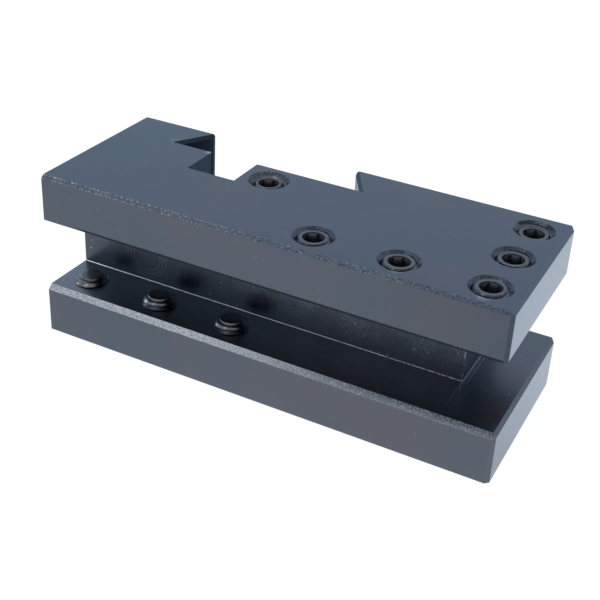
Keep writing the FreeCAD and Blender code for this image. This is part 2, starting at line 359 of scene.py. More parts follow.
@dataclass
class BoreThread:
    """The thread cut in one bore of the block: a thin sleeve whose outside lies in the steel."""

    name: str
    axis: tuple[float, float]
    low: float
    high: float
    finish: "Finish"
    form: ThreadForm = ThreadForm()
    groove: float = 5.93 * MM
    depth: float = 0.90 * MM
    outside: float = 6.25 * MM

    def build(self) -> bpy.types.Object:
        """Make the sleeve's closed surface, dress it and hang it on the block.

        At both ends the thread is opened by cones: its radius is no less than the groove's less the
        distance from the nearest end.
        """
        angle, height = self.form.winding(self.low, self.high)
        radius = self.form.radius(angle, height, self.groove, self.depth)
        nearest_end = np.minimum(height - self.low, self.high - height)
        radius = np.maximum(radius, self.groove - nearest_end)
        inside = about_axis(self.axis, radius, angle, height)
        turn = self.form.angles()
        back_radius = np.array([self.groove, self.outside, self.outside, self.groove])[:, None]
        back_height = np.array([self.low, self.low, self.high, self.high])[:, None]
        back = about_axis(self.axis, back_radius, turn[None, :], back_height)
        piece = skin(self.name, [inside, back])
        piece.data.materials.append(self.finish.material())
        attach(piece, "holder")
        return piece


# Finishes

class NodeSheet:
    """A node tree, with a short method for each kind of node that the finishes and the stage use."""

    def __init__(self, tree: bpy.types.NodeTree) -> None:
        """Take a tree and add its coordinates."""
        self.tree = tree
        self.coordinates = tree.nodes.new("ShaderNodeTexCoord")

    def node(self, kind: str, **settings: object) -> bpy.types.Node:
        """Add a node and set its own properties."""
        made = self.tree.nodes.new(kind)
        for key, value in settings.items():
            setattr(made, key, value)
        return made

    def feed(self, socket: Socket, value: object) -> None:
        """Link a socket to another, or set it to a plain value."""
        if isinstance(value, Socket):
            self.tree.links.new(value, socket)
        else:
            socket.default_value = value

    def split(self, vector: Socket) -> tuple[Socket, ...]:
        """X, Y and Z of a vector, each as a socket."""
        parts = self.node("ShaderNodeSeparateXYZ")
        self.feed(parts.inputs[0], vector)
        return tuple(parts.outputs)

    def maths(self, operation: str, *values: object) -> Socket:
        """The result of one operation on one or two values."""
        made = self.node("ShaderNodeMath", operation=operation)
        for socket, value in zip(made.inputs, values):
            self.feed(socket, value)
        return made.outputs[0]

    def product(self, *values: object) -> Socket:
        """All the values multiplied together."""
        result = values[0]
        for value in values[1:]:
            result = self.maths("MULTIPLY", result, value)
        return result

    def total(self, *values: object) -> Socket:
        """All the values added up."""
        result = values[0]
        for value in values[1:]:
            result = self.maths("ADD", result, value)
        return result

    def less(self, value: object, other: object) -> Socket:
        """One value less another."""
        return self.maths("SUBTRACT", value, other)

    def distance(self, across: Socket, along: Socket) -> Socket:
        """The root of the sum of two squares."""
        return self.maths("SQRT", self.total(self.product(across, across), self.product(along, along)))

    def capped(self, *values: object) -> Socket:
        """All the values added up, and no more than 1."""
        return self.maths("MINIMUM", self.total(*values), 1.0)

    def step(self, value: object, low: float, high: float) -> Socket:
        """A smooth step from 0 at the first number to 1 at the second, whichever of them is larger."""
        made = self.node("ShaderNodeMapRange", interpolation_type="SMOOTHSTEP")
        ends = (low, high, 0.0, 1.0) if low < high else (high, low, 1.0, 0.0)
        for socket, setting in zip(made.inputs, (value, *ends)):
            self.feed(socket, setting)
        return made.outputs[0]

    def band(self, value: object, middle: float, half_width: float, soft: float) -> Socket:
        """1 within half a width of a value, 0 outside, with a soft edge."""
        away = self.maths("ABSOLUTE", self.less(value, middle))
        return self.step(away, half_width + soft, half_width)

    def scaled(self, vector: Socket, scale: Sequence[float]) -> Socket:
        """A vector with each part multiplied by its own number."""
        made = self.node("ShaderNodeVectorMath", operation="MULTIPLY")
        self.feed(made.inputs[0], vector)
        made.inputs[1].default_value = scale
        return made.outputs[0]

    def blend(self, factor: object, first: object, second: object) -> Socket:
        """A number between two numbers."""
        made = self.node("ShaderNodeMix", data_type="FLOAT")
        for socket, value in zip((made.inputs[0], made.inputs[2], made.inputs[3]), (factor, first, second)):
            self.feed(socket, value)
        return made.outputs[0]

    def tint(self, factor: object, first: object, second: object) -> Socket:
        """A colour between two colours."""
        made = self.node("ShaderNodeMix", data_type="RGBA")
        values = [(*value, 1.0) if isinstance(value, tuple) else value for value in (first, second)]
        for socket, value in zip((made.inputs[0], made.inputs[6], made.inputs[7]), (factor, *values)):
            self.feed(socket, value)
        return made.outputs[2]


class SteelSheet(NodeSheet):
    """The node sheet of one metal finish. Places are in millimetres of the row frame."""

    def __init__(self, name: str) -> None:
        """Start a material with its principled shader."""
        self.material = bpy.data.materials.new(name)
        self.material.use_nodes = True
        super().__init__(self.material.node_tree)
        self.shader = self.tree.nodes["Principled BSDF"]
        self.place = self.scaled(self.coordinates.outputs["Object"], (1 / MM, 1 / MM, 1 / MM))

    def noise(self, vector: Socket, scale: float, detail: float = 2.0, roughness: float = 0.5) -> Socket:
        """Soft noise from 0 to 1, whose scale is in cells to a millimetre."""
        made = self.node("ShaderNodeTexNoise")
        self.feed(made.inputs["Vector"], vector)
        made.inputs["Scale"].default_value = scale
        made.inputs["Detail"].default_value = detail
        made.inputs["Roughness"].default_value = roughness
        return made.outputs["Fac"]

    def specks(self, scale: float, size: float, rarity: float) -> Socket:
        """Small round specks, one in some of the cells of a grid.

        Args:
            scale: Cells to a millimetre.
            size: Radius of a speck as a share of a cell.
            rarity: Share of the cells that stay empty.

        Returns:
            1 on a speck and 0 beside it.
        """
        cells = self.node("ShaderNodeTexVoronoi")
        self.feed(cells.inputs["Vector"], self.place)
        cells.inputs["Scale"].default_value = scale
        chosen = self.step(self.split(cells.outputs["Color"])[0], rarity, rarity + 0.02)
        return self.product(chosen, self.step(cells.outputs["Distance"], size, 0.5 * size))

    def emboss(self, height: Socket) -> None:
        """Raise the skin by a height in millimetres."""
        bump = self.node("ShaderNodeBump")
        bump.inputs["Strength"].default_value = 1.0
        bump.inputs["Distance"].default_value = MM
        self.feed(bump.inputs["Height"], height)
        self.feed(self.shader.inputs["Normal"], bump.outputs[0])


@dataclass(frozen=True)
class Finish:
    """Blackened steel with a film of oil: the numbers that every finish of the holder shares."""

    name: str
    steel: Colour
    grazing: Colour = (0.72, 0.85, 1.0)
    roughness: float = 0.34
    oil: float = 0.35
    oil_roughness: float = 0.16
    oil_index: float = 1.5

    def sheet(self) -> SteelSheet:
        """A node sheet with the shared numbers on the shader's own sockets."""
        sheet = SteelSheet(self.name)
        shader = sheet.shader
        shader.inputs["Metallic"].default_value = 1.0
        shader.inputs["Specular Tint"].default_value = (*self.grazing, 1.0)
        shader.inputs["Coat Weight"].default_value = self.oil
        shader.inputs["Coat Roughness"].default_value = self.oil_roughness
        shader.inputs["Coat IOR"].default_value = self.oil_index
        return sheet

    def material(self) -> bpy.types.Material:
        """The finished material, made once and then shared."""
        found = bpy.data.materials.get(self.name)
        return found if found else self.dressed(self.sheet())

    def dressed(self, sheet: SteelSheet) -> bpy.types.Material:
        """Add what is this finish's own to the sheet."""
        raise NotImplementedError


@dataclass(frozen=True)
class ScrewFinish(Finish):
    """A satin blackened screw, a little browner and rougher where it was turned and broached.

    Painted shade lies in flecks on the end's chamfer and all round the socket's steep mouth, both found by
    the skin's upward part.
    """

    brown: Colour = (0.105, 0.092, 0.104)
    # Colour of the painted shade on the end's chamfer and in the socket's mouth.
    painted_shade: Colour = (0.028, 0.033, 0.042)
    rim_and_mouth_shade: float = 0.0
    chamfer_upward: float = UPWARD_AT_45_DEGREES
    mouth_upward: float = 0.447

    def dressed(self, sheet: SteelSheet) -> bpy.types.Material:
        """Add cloudy colour and fine grain, and painted shade to a screw whose socket is seen."""
        cloud = sheet.noise(sheet.place, 0.35, 3.0)
        grain = sheet.noise(sheet.place, 2.2, 4.0, 0.65)
        colour = sheet.tint(sheet.step(cloud, 0.45, 0.75), self.steel, self.brown)
        if self.rim_and_mouth_shade:
            # Painted shade on the end's chamfer and in the socket's mouth.
            dull = self.shade_mask(sheet, grain)
            colour = sheet.tint(dull, colour, self.painted_shade)
            sheet.feed(sheet.shader.inputs["Coat Weight"], sheet.blend(dull, self.oil, 0.0))
        sheet.feed(sheet.shader.inputs["Base Color"], colour)
        rough = sheet.blend(grain, self.roughness - 0.08, self.roughness + 0.12)
        sheet.feed(sheet.shader.inputs["Roughness"], rough)
        sheet.emboss(sheet.product(grain, 0.02))
        return sheet.material

    def shade_mask(self, sheet: SteelSheet, grain: Socket) -> Socket:
        """How much painted shade lies on the end's chamfer, in flecks, and in the socket's mouth all round.
        """
        upward = sheet.split(sheet.coordinates.outputs["Normal"])[2]
        rim = sheet.product(sheet.band(upward, self.chamfer_upward, 0.08, 0.05),
                            sheet.step(grain, 0.66, 0.48))
        mouth = sheet.band(upward, self.mouth_upward, 0.10, 0.05)
        return sheet.product(sheet.total(rim, mouth), self.rim_and_mouth_shade)


@dataclass(frozen=True)
class BlockPlaces:
    """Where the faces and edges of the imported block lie, in millimetres of the row frame."""

    front: float = -31.0
    end: float = 82.5
    top: float = 61.0
    floor: float = 18.4
    roof: float = 44.0
    edge_chamfer: float = 1.2
    slot_chamfer: float = 1.7
    web: float = -9.5
    web_end: float = 64.0
    relief_edges: tuple[float, float] = (64.1, 65.6)
    dovetail_floor: float = 16.5
    left_jaw: float = -52.4
    channel_wall: float = -45.05


class BlockPoint:
    """Sockets for where a point of the block's skin lies and which way it faces, and masks for its faces."""

    at = BlockPlaces()

    def __init__(self, sheet: SteelSheet) -> None:
        """Take the place and the normal apart, and lay three grains that several marks share.

        They are the flecks left by grinding, the streaks along X and the streaks up Z.
        """
        self.sheet = sheet
        self.x, self.y, self.z = sheet.split(sheet.place)
        self.normal = sheet.split(sheet.coordinates.outputs["Normal"])
        self.strokes = sheet.noise(sheet.scaled(sheet.place, (1.6, 0.8, 0.8)), 1.9, 2.0, 0.6)
        self.streaks = sheet.noise(sheet.scaled(sheet.place, (0.05, 1.0, 1.0)), 1.4, 3.0)
        self.uprights = sheet.noise(sheet.scaled(sheet.place, (1.0, 1.0, 0.05)), 1.4, 3.0)

    def faces(self, sides: Sequence[float], least: float = 0.9) -> Socket:
        """1 where the skin faces the sides named by their signs, else 0.

        Args:
            sides: A sign for each of X, Y and Z, and 0 for a side that doesn't matter.
            least: The least part of the normal towards each side named. 0.9 is a face square to a side.

        Returns:
            The mask.
        """
        masks = [self.sheet.step(self.sheet.product(part, sign), least - 0.06, least)
                 for part, sign in zip(self.normal, sides) if sign]
        return self.sheet.product(*masks)

    def near(self, x: float, y: float, radius: float) -> Socket:
        """1 on an upright axis, fading to 0 at a radius from it."""
        away = self.sheet.distance(self.sheet.less(self.x, x), self.sheet.less(self.y, y))
        return self.sheet.step(away, radius, 0.0)

    def web(self) -> Socket:
        """1 on the front slot's back wall."""
        wall = self.sheet.band(self.y, self.at.web, 1.0, 0.5)
        return self.sheet.product(self.faces((0, -1, 0)), wall)

    def slot_floor(self) -> Socket:
        """1 on the floor of the slots and of the relief in it."""
        low = self.sheet.band(self.z, self.at.floor - 0.4, 0.7, 0.3)
        return self.sheet.product(self.faces((0, 0, 1)), low)

    def channel_wall(self) -> Socket:
        """1 on the left wall of the dovetail's channel."""
        wall = self.sheet.band(self.x, self.at.channel_wall, 0.3, 0.2)
        return self.sheet.product(self.faces((1, 0, 0)), wall)

    def upper_chamfer(self) -> Socket:
        """1 on the chamfer along the top plate's front edge."""
        start = self.at.top - self.at.edge_chamfer
        above = self.sheet.step(self.z, start - 0.8, start - 0.1)
        return self.sheet.product(self.faces((0, -1, 1), 0.5), above)

    def lower_chamfer(self) -> Socket:
        """1 on the chamfer along the slot floor's front edge."""
        sheet, at = self.sheet, self.at
        start = at.floor - at.slot_chamfer
        back = at.front + at.slot_chamfer
        return sheet.product(self.faces((0, -1, 1), 0.5), sheet.step(self.z, at.floor + 1.1, at.floor + 0.1),
                             sheet.step(self.z, start - 0.7, start), sheet.step(self.y, back + 0.3, back))

    def mouths(self) -> Socket:
        """1 on the cones at the mouths of the upper holes: slanting skin that isn't an outer edge."""
        sheet, at = self.sheet, self.at
        slant = sheet.band(self.normal[2], UPWARD_AT_45_DEGREES, 0.12, 0.05)
        start = at.top - at.edge_chamfer
        front = at.front + at.edge_chamfer
        end = at.end - at.edge_chamfer
        return sheet.product(slant, sheet.step(self.z, start - 0.8, start - 0.1),
                             sheet.step(self.y, front + 0.05, front + 0.2),
                             sheet.step(self.x, end - 0.05, end - 0.2),
                             sheet.step(self.y, at.dovetail_floor - 0.5, at.dovetail_floor - 1.0))


@dataclass(frozen=True)
class ScallopRows:
    """The curved marks of a cutter that was fed along X across an upright face."""

    cutter_radius: float = 40.0
    cutter_height: float = 3.4
    feed: float = 1.12
    wander: float = 2.4

    def wave(self, point: BlockPoint) -> Socket:
        """Marks from -1 to 1.

        It is the sine of the turns that the cutter's rim has been fed past a point: the place along X less
        the root of the cutter's radius squared less the height above its axis squared. Soft noise makes the
        rows wander.
        """
        sheet = point.sheet
        above = sheet.less(point.z, self.cutter_height)
        reach = sheet.less(self.cutter_radius ** 2, sheet.product(above, above))
        rim = sheet.maths("SQRT", sheet.maths("MAXIMUM", reach, 0.0))
        fed = sheet.total(sheet.less(point.x, rim),
                          sheet.product(sheet.noise(sheet.place, 0.22, 2.0), self.wander))
        return sheet.maths("SINE", sheet.product(fed, 2 * math.pi / self.feed))

    def shown(self, point: BlockPoint) -> Socket:
        """Where the rows show: in patches from near the middle to the right, and less towards the foot."""
        sheet = point.sheet
        patches = sheet.step(sheet.noise(sheet.place, 0.07, 2.0), 0.38, 0.60)
        broken = sheet.step(sheet.noise(sheet.place, 0.55, 2.0), 0.36, 0.60)
        return sheet.product(sheet.blend(patches, 0.35, 1.0), sheet.blend(broken, 0.30, 1.0),
                             sheet.step(point.x, -22.0, -10.0),
                             sheet.step(point.z, point.at.floor - 0.9, point.at.floor + 7.6))


@dataclass(frozen=True)
class RingMarks:
    """The round marks of a cutter that stopped against an upright face."""

    x: float = -55.5
    z: float = 28.0
    radius: float = 9.2
    inner: float = 4.5
    spacing: float = 1.3

    def wave(self, point: BlockPoint) -> Socket:
        """Marks from -1 to 1: the sine of the rings passed on the way out, between two radii."""
        sheet = point.sheet
        away = sheet.distance(sheet.less(point.x, self.x), sheet.less(point.z, self.z))
        marks = sheet.maths("SINE", sheet.product(away, 2 * math.pi / self.spacing))
        return sheet.product(marks, sheet.step(away, self.radius + 0.2, self.radius - 0.2),
                             sheet.step(away, self.inner - 1.0, self.inner + 1.0))


@dataclass(frozen=True)
class BlockFinish(Finish):
    """The block's skin: smooth blackened faces, ground chamfers that sparkle, and marks of the cutters, with
    painted shade where shade falls and painted highlights and glints on edges, chamfers and cutter marks.

    A spot is the X and Y of its middle and its radius, a run is where a change along X begins and where it
    ends, and all three are in millimetres, as the heights are.
    """

    violet: Colour = (0.100, 0.111, 0.142)
    # Bare steel on the chamfers, also the colour of their painted highlight and of the glints in the hole
    # mouths.
    bare_and_highlight: Colour = (0.42, 0.45, 0.50)
    # Colour of the painted highlights and glints on edges, tips, cutter marks and specks.
    highlight_and_wear: Colour = (0.80, 0.83, 0.88)
    # Colour of the painted shade.
    painted_shade: Colour = (0.023, 0.035, 0.052)
    stain: Colour = (0.125, 0.074, 0.098)
    stain_share: float = 0.7
    floor_paleness: float = 0.22
    # Painted shade on the web, which sits under the top plate.
    web_shade: float = 0.35
    # Share by which the skin is made darker towards the left.
    left_darkening: float = 0.06
    stroke_height: float = 0.08
    cutter_mark_height: float = 0.012
    mottle_height: float = 0.022
    stained_spot: Spot = (77.0, -20.0, 9.0)
    tooth_tip: Spot = (-45.3, 16.2, 2.6)
    jaw_tip: Spot = (-61.5, 18.2, 3.4)
    # Pale spots at two screw mouths.
    pale_spots: tuple[Spot, ...] = ((44.7, -26.2, 2.4), (71.8, -27.0, 2.8))
    end_slot_run: tuple[float, float] = (50.0, 70.0)
    lower_run: tuple[float, float] = (-30.0, 50.0)
    upper_run: tuple[float, float] = (-80.0, 20.0)
    scallops: ScallopRows = ScallopRows()
    rings: RingMarks = RingMarks()

    def dressed(self, sheet: SteelSheet) -> bpy.types.Material:
        """Colour the skin from its clouds through its painted shade to its painted highlights, then set its
        gloss and its relief.
        """
        point = BlockPoint(sheet)
        bare_and_highlight, painted_shade = self.chamfers(point)
        cone_glints, cone_shade = self.cones(point)
        dull = sheet.capped(painted_shade, self.shaded_faces(point))
        # The skin is made darker towards the left.
        darker_left = sheet.product(sheet.step(point.x, -10.0, -80.0), self.left_darkening)
        # Painted shade: shaded faces, dark chamfers and hole mouths, the web under the top plate, and darker
        # to the left.
        shade_mask = sheet.capped(dull, cone_shade, sheet.product(point.web(), self.web_shade), darker_left)
        # Painted highlights and glints along edges, tips, cutter marks and specks, and the pale spots at two
        # screw mouths.
        shining = sheet.capped(self.web_edge_highlights(point), self.tip_glints_and_pale_spots(point), self.cutter_mark_highlights(point),
                               self.specks(point))
        colour = sheet.tint(shade_mask, self.clouds(point), self.painted_shade)
        # Bare flecks with painted highlight on the chamfers, and painted glints in the hole mouths.
        colour = sheet.tint(sheet.capped(bare_and_highlight, cone_glints), colour, self.bare_and_highlight)
        sheet.feed(sheet.shader.inputs["Base Color"], sheet.tint(shining, colour, self.highlight_and_wear))
        sheet.feed(sheet.shader.inputs["Coat Weight"], sheet.blend(dull, self.oil, 0.0))
        sheet.feed(sheet.shader.inputs["Specular Tint"], sheet.tint(dull, self.grazing, self.bare_and_highlight))
        grain = sheet.noise(sheet.place, 0.5, 3.0)
        rough = sheet.total(self.roughness - 0.04, sheet.product(grain, 0.08), sheet.product(bare_and_highlight, 0.12))
        sheet.feed(sheet.shader.inputs["Roughness"], rough)
        sheet.emboss(self.relief(point))
        return sheet.material

    def clouds(self, point: BlockPoint) -> Socket:
        """Colour of the plain faces, before soot and wear.

        Violet clouds lie on the steel's blue, most of them near the middle. The slot's floor is paler, with
        a stain at its right end.
        """
        sheet = point.sheet
        middle = sheet.product(sheet.band(point.x, 20.0, 20.0, 70.0), 0.12)
        cloud = sheet.total(sheet.noise(sheet.place, 0.028, 3.0), middle)
        colour = sheet.tint(sheet.step(cloud, 0.42, 0.72), self.steel, self.violet)
        paler = sheet.product(point.slot_floor(), sheet.step(point.x, 75.0, 45.0), self.floor_paleness)
        stained = sheet.product(point.near(*self.stained_spot), point.slot_floor(), self.stain_share)
        return sheet.tint(stained, sheet.tint(paler, colour, self.bare_and_highlight), self.stain)

    def specks(self, point: BlockPoint) -> Socket:
        """How bright the small specks of painted glint are: faint outside, and brighter between the two
        plates.
        """
        sheet, at = point.sheet, point.at
        in_slots = sheet.product(sheet.step(point.z, at.floor - 0.4, at.floor - 0.2),
                                 sheet.step(point.z, at.roof - 1.0, at.roof - 2.0))
        dots = sheet.specks(scale=0.34, size=0.085, rarity=0.55)
        return sheet.product(dots, sheet.blend(in_slots, 0.12, 0.75))

    def shaded_faces(self, point: BlockPoint) -> Socket:
        """How much painted shade lies on whole faces.

        They are the dovetail's flanks, its left jaw and the channel's left wall, down in the dovetail's
        hollow, and on the top plate the front right corner, the right half of the front, and a painted
        shadow line along its lower edge.
        """
        sheet, at = point.sheet, point.at
        back = sheet.step(point.y, at.dovetail_floor - 0.5, at.dovetail_floor + 0.1)
        flank = sheet.product(point.faces((1, -1, 0), 0.3), back)
        far_flank = sheet.product(point.faces((-1, -1, 0), 0.3), back, 0.60)
        jaw = sheet.product(point.faces((1, 0, 0)), sheet.band(point.x, at.left_jaw, 0.5, 0.2), 0.85)
        wall = sheet.product(point.channel_wall(), 0.95)
        plate = sheet.step(point.z, at.roof - 4.0, at.roof - 1.0)
        corner = sheet.product(plate, point.faces((1, -1, 0), 0.5),
                               sheet.step(point.x, at.end - 1.5, at.end - 1.3), 0.50)
        front = sheet.product(plate, point.faces((0, -1, 0)),
                              sheet.step(point.y, at.front + 1.0, at.front + 0.2))
        far_end = sheet.product(front, sheet.step(point.x, 20.0, 85.0), 0.18)
        lower_edge = sheet.product(front, sheet.step(point.z, at.roof + 1.05, at.roof + 0.9),
                                   sheet.step(point.x, -72.0, -64.0))
        return sheet.total(flank, far_flank, jaw, wall, corner, far_end, lower_edge)

    def chamfers(self, point: BlockPoint) -> tuple[Socket, Socket]:
        """How much bare flecking and painted highlight, and how much painted shade, the ground chamfers
        along the front get.

        Both of those that face up are flecked across. The lower one has a painted highlight along most of
        its length, and the upper one goes from a painted highlight at the left to painted shade at the
        right. The top plate's lower edge, which faces down, has painted shade all along.
        """
        sheet, at = point.sheet, point.at
        lower, upper = point.lower_chamfer(), point.upper_chamfer()
        far = sheet.step(point.x, *self.lower_run)
        fading = sheet.step(point.x, *self.upper_run)
        from_middle = sheet.maths("ABSOLUTE", sheet.less(point.z, at.top - at.edge_chamfer / 2))
        border = sheet.step(from_middle, 0.28, 0.45)
        sparse = sheet.step(point.strokes, 0.53, 0.64)
        fine = sheet.blend(sheet.step(sheet.noise(sheet.place, 1.7, 2.0, 0.6), 0.42, 0.58), 0.38, 1.0)
        bare_and_highlight = sheet.total(
            sheet.product(lower, sheet.blend(far, 0.76, 0.24), sheet.blend(far, fine, sparse)),
            sheet.product(upper, border, sparse, sheet.blend(fading, 0.85, 0.06)),
            sheet.product(upper, sparse, sheet.blend(fading, 0.16, 0.03)))
        dull = sheet.blend(sheet.step(point.strokes, 0.60, 0.42), 0.45, 1.0)
        painted_shade = sheet.total(
            sheet.product(upper, dull, sheet.blend(sheet.step(point.x, -70.0, 10.0), 0.60, 1.0)),
            sheet.product(lower, dull, sheet.step(point.x, -10.0, 60.0),
                          sheet.step(point.z, at.floor - 1.8, at.floor - 0.2), 0.8),
            sheet.product(point.faces((0, -1, -1), 0.5), sheet.band(point.z, at.roof, 1.0, 0.2)))
        return bare_and_highlight, painted_shade

    def cones(self, point: BlockPoint) -> tuple[Socket, Socket]:
        """How much painted glint and painted shade the mouths of the upper holes get: fine light flecks on a
        cone darkened with painted shade.
        """
        sheet = point.sheet
        mouths = point.mouths()
        fine = sheet.noise(sheet.place, 2.6, 2.0, 0.6)
        bare_and_highlight = sheet.product(mouths, sheet.step(fine, 0.56, 0.70), 0.16)
        painted_shade = sheet.product(mouths, sheet.step(fine, 0.66, 0.46), 0.85)
        return bare_and_highlight, painted_shade

    def web_edge_highlights(self, point: BlockPoint) -> Socket:
        """How bright the painted highlight lines are along the web's foot, dashed towards the right, its
        dotted corner, and both edges of the relief beside it.
        """
        sheet, at = point.sheet, point.at
        gaps = sheet.step(sheet.noise(sheet.place, 1.1, 1.0), 0.42, 0.56)
        dots = sheet.step(sheet.noise(sheet.place, 2.4, 1.0), 0.48, 0.56)
        dashed = sheet.blend(sheet.step(point.x, 0.0, 40.0), 1.0, gaps)
        # Painted highlight line along the web's foot, solid at the left and dashed to the right.
        foot = sheet.product(point.faces((0, -1, 1), 0.5), sheet.band(point.y, at.web - 0.25, 0.14, 0.08),
                             sheet.step(point.z, at.floor + 0.8, at.floor + 0.5), dashed,
                             sheet.blend(sheet.step(point.x, -50.0, at.web_end), 0.78, 0.45))
        corner = sheet.product(point.faces((1, -1, 0), 0.5), sheet.band(point.x, at.web_end, 1.0, 0.3),
                               sheet.band(point.y, at.web, 1.0, 0.3), gaps, dots, 0.6)
        edges = sheet.total(*(sheet.band(point.x, edge, 0.12, 0.10) for edge in at.relief_edges))
        groove = sheet.product(edges, sheet.band(point.z, at.floor - 0.3, 0.5, 0.1),
                               sheet.step(point.y, at.web - 0.5, at.web + 0.1), 0.30)
        return sheet.total(foot, corner, groove)

    def tip_glints_and_pale_spots(self, point: BlockPoint) -> Socket:
        """How bright the spots on top are: painted glints at the tips beside the channel, and pale spots at
        two screw mouths.
        """
        sheet, top = point.sheet, point.at.top
        dots = sheet.noise(sheet.place, 2.4, 1.0)
        # Painted glints at the tooth tip and the jaw tip.
        tips = sheet.total(sheet.product(point.near(*self.tooth_tip), sheet.step(dots, 0.42, 0.52), 2.0),
                           sheet.product(point.near(*self.jaw_tip), sheet.step(dots, 0.54, 0.62)))
        upward = sheet.product(point.faces((0, 0, 1)), sheet.step(point.z, top - 0.5, top - 0.1))
        pale_patches = sheet.product(sheet.total(*(point.near(*spot) for spot in self.pale_spots)),
                                sheet.step(dots, 0.42, 0.56))
        return sheet.total(sheet.product(upward, tips, 0.35),
                           sheet.product(sheet.step(point.z, top - 1.0, top - 0.6), pale_patches, 0.50))

    def cutter_mark_highlights(self, point: BlockPoint) -> Socket:
        """How light the painted highlights are along the thin lines that the cutters left on the web, the
        floor and the channel.
        """
        sheet = point.sheet
        ridges = sheet.step(self.scallops.wave(point), -0.2, 0.9)
        scallops = sheet.product(ridges, self.scallops.shown(point))
        rings = sheet.product(sheet.step(self.rings.wave(point), 0.3, 0.9), 0.45)
        web = sheet.product(point.web(), sheet.total(scallops, rings), 0.16)
        streaks = sheet.product(point.slot_floor(), sheet.step(point.streaks, 0.54, 0.70),
                                sheet.blend(sheet.step(point.x, *self.end_slot_run), 0.045, 0.012))
        passes = sheet.product(point.slot_floor(), self.passes(point), 0.06)
        channel = sheet.product(point.channel_wall(), sheet.step(point.uprights, 0.46, 0.62), 0.012)
        return sheet.total(web, streaks, passes, channel)

    def passes(self, point: BlockPoint) -> Socket:
        """The two faint ridges on the floor where the passes of the two slots meet."""
        sheet, at = point.sheet, point.at
        along = sheet.product(sheet.band(point.y, at.web - 0.9, 0.08, 0.12),
                              sheet.step(point.x, at.web_end, at.web_end + 0.5),
                              sheet.step(point.x, 80.0, 70.0))
        across = sheet.product(sheet.band(point.x, at.web_end, 0.08, 0.12),
                               sheet.step(point.y, at.web - 0.5, at.web - 1.0),
                               sheet.step(point.y, -27.0, -22.0))
        return sheet.total(along, across)

    def relief(self, point: BlockPoint) -> Socket:
        """Height of the skin's fine marks: grinding strokes, cutter marks, streaks and mottle."""
        sheet = point.sheet
        slanting = sheet.total(point.faces((0, -1, 1), 0.5), sheet.product(point.mouths(), 0.6))
        chamfers = sheet.product(slanting, point.strokes, self.stroke_height)
        scallops = sheet.product(self.scallops.wave(point), self.scallops.shown(point))
        web = sheet.product(point.web(), sheet.total(scallops, self.rings.wave(point)),
                            self.cutter_mark_height)
        streaks = sheet.product(point.streaks,
                                sheet.blend(sheet.step(point.x, *self.end_slot_run), 0.030, 0.012))
        floor = sheet.product(point.slot_floor(),
                              sheet.total(streaks, sheet.product(self.passes(point), 0.04)))
        mottle = sheet.product(sheet.noise(sheet.place, 0.22, 4.0, 0.6), self.mottle_height)
        return sheet.total(chamfers, web, floor, mottle)


@dataclass
class HolderBlock:
    """The steel block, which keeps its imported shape, and the threads of its nine bores."""

    screws: Sequence[SetScrew]
    finish: BlockFinish
    thread_finish: Finish
    node: str = "holder_block"
    at: BlockPlaces = BlockPlaces()
    mouth_chamfer: float = 0.85 * MM
    stud_mouth: float = 1.1 * MM
    stud_floor: float = 21.5 * MM
    set_back: float = 0.02 * MM

    def bore_ends(self, screw: SetScrew) -> tuple[float, float]:
        """Lower and upper end of the threaded length of a screw's bore."""
        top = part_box(self.node)[1].z
        if screw.slot == "stud":
            return self.stud_floor, top - self.stud_mouth
        if screw.faces is SocketFaces.UP:
            return self.at.roof * MM + self.set_back, top - self.mouth_chamfer
        return self.mouth_chamfer, self.at.floor * MM - self.set_back

    def build(self) -> list[bpy.types.Object]:
        """Dress the block and make the thread of every bore."""
        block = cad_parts[self.node]
        for slot in block.material_slots:
            slot.material = self.finish.material()
        pieces = [block]
        for screw in self.screws:
            low, high = self.bore_ends(screw)
            name = "bore_thread_" + screw.node
            pieces.append(BoreThread(name, screw.axis(), low, high, self.thread_finish).build())
        return pieces


# Studio

@dataclass(frozen=True)
class SoftBox:
    """A square white lamp with soft edges to its shadow, aimed at the middle of the block."""

    name: str
    direction: tuple[float, float, float]
    distance: float
    side: float
    level: float

    def build(self, target: Vector) -> None:
        """Hang the lamp.

        The level is how bright it makes a white card that faces it at the block: its energy is the level
        times the squares of pi and of the distance.
        """
        lamp = bpy.data.lights.new(self.name, "AREA")
        lamp.shape = "SQUARE"
        lamp.size = self.side
        lamp.energy = math.pi ** 2 * self.distance ** 2 * self.level
        stand = bpy.data.objects.new(self.name, lamp)
        away = Vector(self.direction).normalized()
        stand.location = target + away * self.distance
        stand.rotation_euler = away.to_track_quat("Z", "Y").to_euler()
        stand.visible_camera = False
        bpy.context.scene.collection.objects.link(stand)


class StageSheet(NodeSheet):
    """The node sheet of the surroundings or of the floor."""

    def __init__(self, tree: bpy.types.NodeTree) -> None:
        """Clear the tree and add a light path to its coordinates."""
        tree.nodes.clear()
        super().__init__(tree)
        self.path = self.node("ShaderNodeLightPath")

    def rising(self, coordinates: str, run: tuple[float, float]) -> Socket:
        """A smooth step from 0 to 1 over a run of Y, in the coordinates named."""
        return self.step(self.split(self.coordinates.outputs[coordinates])[1], *run)

    def seen(self, share: float) -> Socket:
        """A share for rays from the camera and rays mirrored by the object, else 0."""
        camera, mirrored = self.path.outputs["Is Camera Ray"], self.path.outputs["Is Glossy Ray"]
        return self.product(self.maths("MAXIMUM", camera, mirrored), share)


